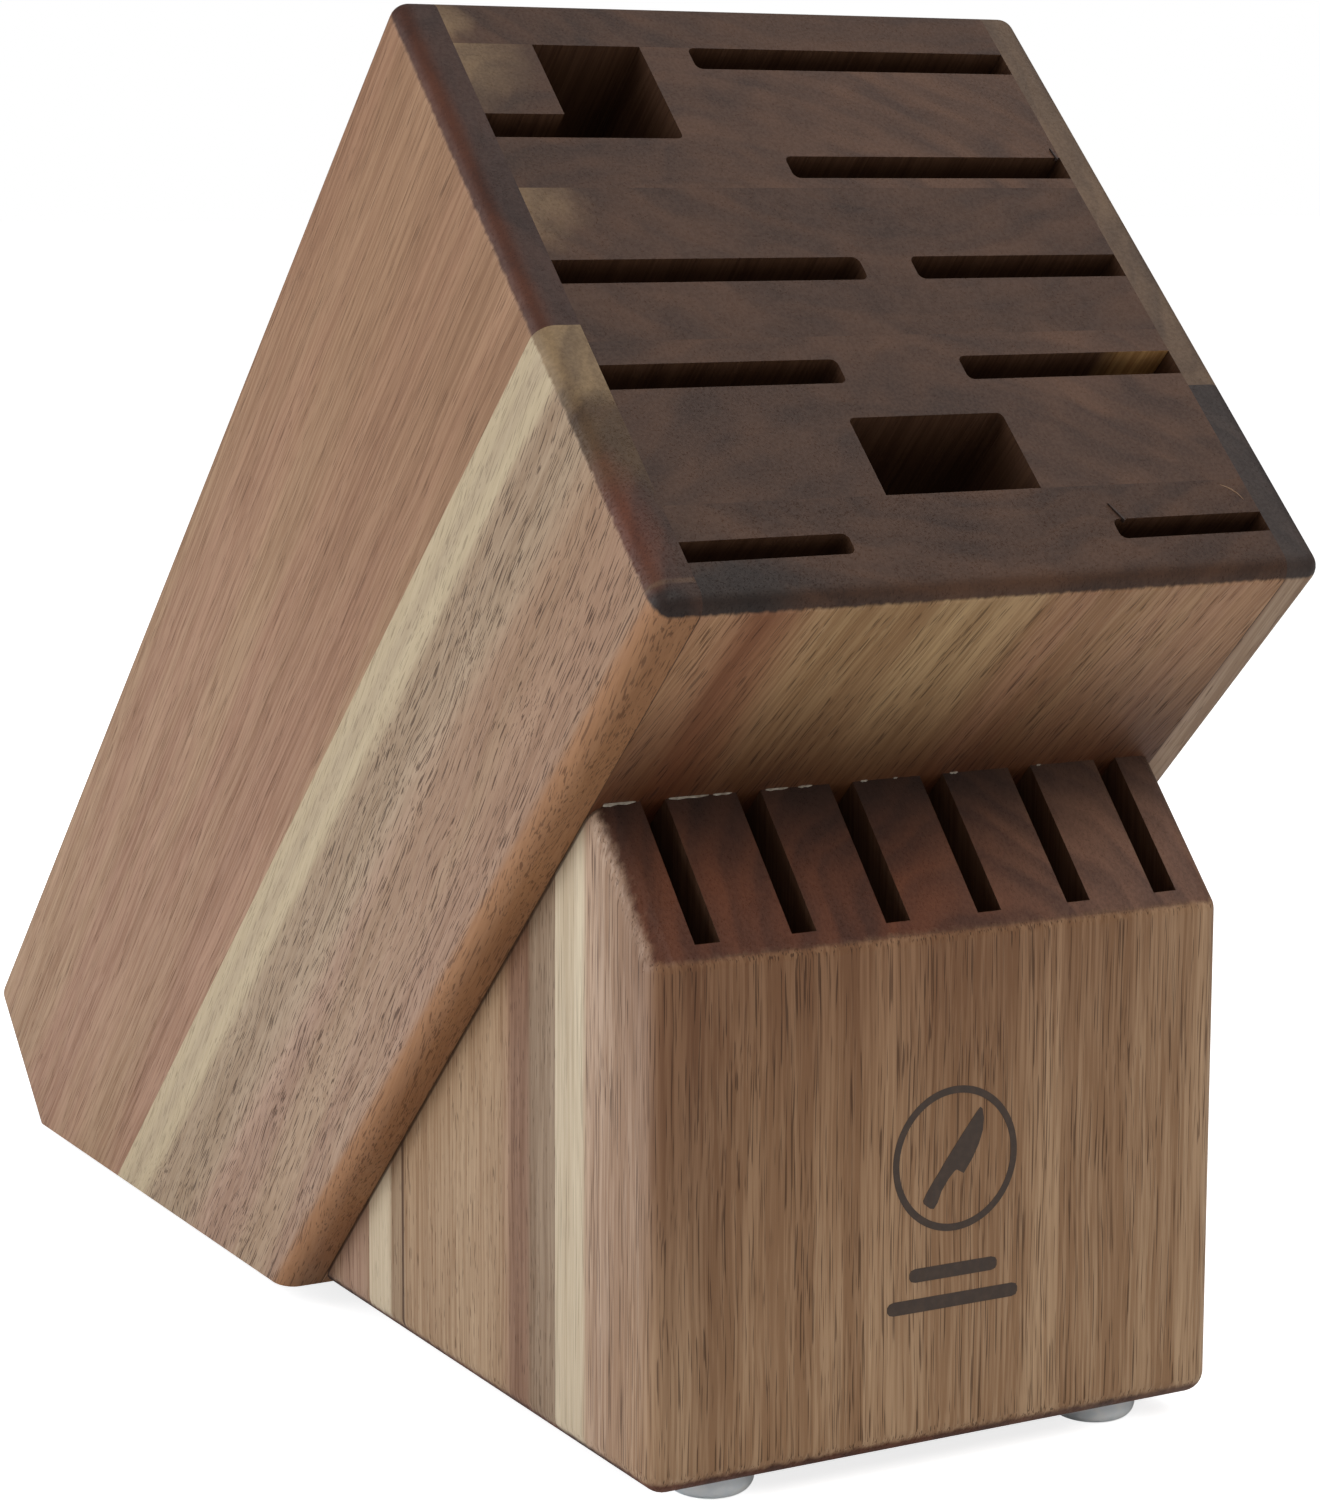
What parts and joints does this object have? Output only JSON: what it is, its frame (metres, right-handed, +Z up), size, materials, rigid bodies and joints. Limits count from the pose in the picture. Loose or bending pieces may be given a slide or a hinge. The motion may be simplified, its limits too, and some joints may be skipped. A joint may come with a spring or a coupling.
{
  "type": "knife block",
  "caption": "Slanted wooden countertop knife block, empty: a laminated slotted beam on a wedge base with a steak-knife ledge and soft bumper feet.",
  "frame": {"origin": "centred under the block, on the plane of the feet's undersides", "axes": "+X right seen from the front, +Y to the rear, +Z up"},
  "size_m": [0.114, 0.2756, 0.218],
  "materials": {
    "core_wood": "satin lacquered end grain",
    "panel_wood": "satin lacquer",
    "base_wood": "satin lacquer",
    "bumper": "translucent soft plastic",
    "adhesive": "clear adhesive"
  },
  "bodies": {
    "root": {"core_rear_board": "core_wood", "core_upper_board": "core_wood", "core_corner_strip": "core_wood", "core_middle_board": "core_wood", "core_lower_board": "core_wood", "core_front_board": "core_wood", "left_panel_rear_board": "panel_wood", "left_panel_front_board": "panel_wood", "right_panel_rear_board": "panel_wood", "right_panel_front_board": "panel_wood", "base_front_board": "base_wood", "base_middle_board": "base_wood", "base_rear_board": "base_wood", "foot_front_left": "bumper", "foot_front_right": "bumper", "foot_rear_left": "bumper", "foot_rear_right": "bumper", "foot_adhesive_front_left": "adhesive", "foot_adhesive_front_right": "adhesive", "foot_adhesive_rear_left": "adhesive", "foot_adhesive_rear_right": "adhesive"}
  },
  "joints": []
}
